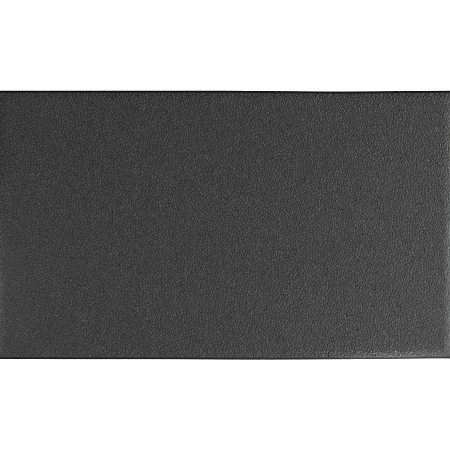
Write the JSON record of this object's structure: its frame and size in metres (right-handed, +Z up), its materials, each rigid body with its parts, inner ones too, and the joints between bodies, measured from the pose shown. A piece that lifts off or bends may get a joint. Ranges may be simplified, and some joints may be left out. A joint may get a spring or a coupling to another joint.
{
  "type": "anti fatigue floor mat",
  "caption": "Rectangular cushioned standing mat: embossed vinyl wear layer and scrim laminated to a closed-cell foam core on a non-slip backing, with bevelled edges.",
  "frame": {"origin": "middle of the underside, on the floor that the mat lies on", "axes": "+X along the length, +Y across the width, +Z up out of the embossed face"},
  "size_m": [1.524, 0.914, 0.0095],
  "materials": {
    "wear_vinyl": "matte",
    "scrim_textile": "matte",
    "core_foam": "matte",
    "backing_vinyl": "satin"
  },
  "bodies": {
    "root": {"wear_layer": "wear_vinyl", "reinforcing_scrim": "scrim_textile", "foam_core": "core_foam", "backing_sheet": "backing_vinyl"}
  },
  "joints": []
}
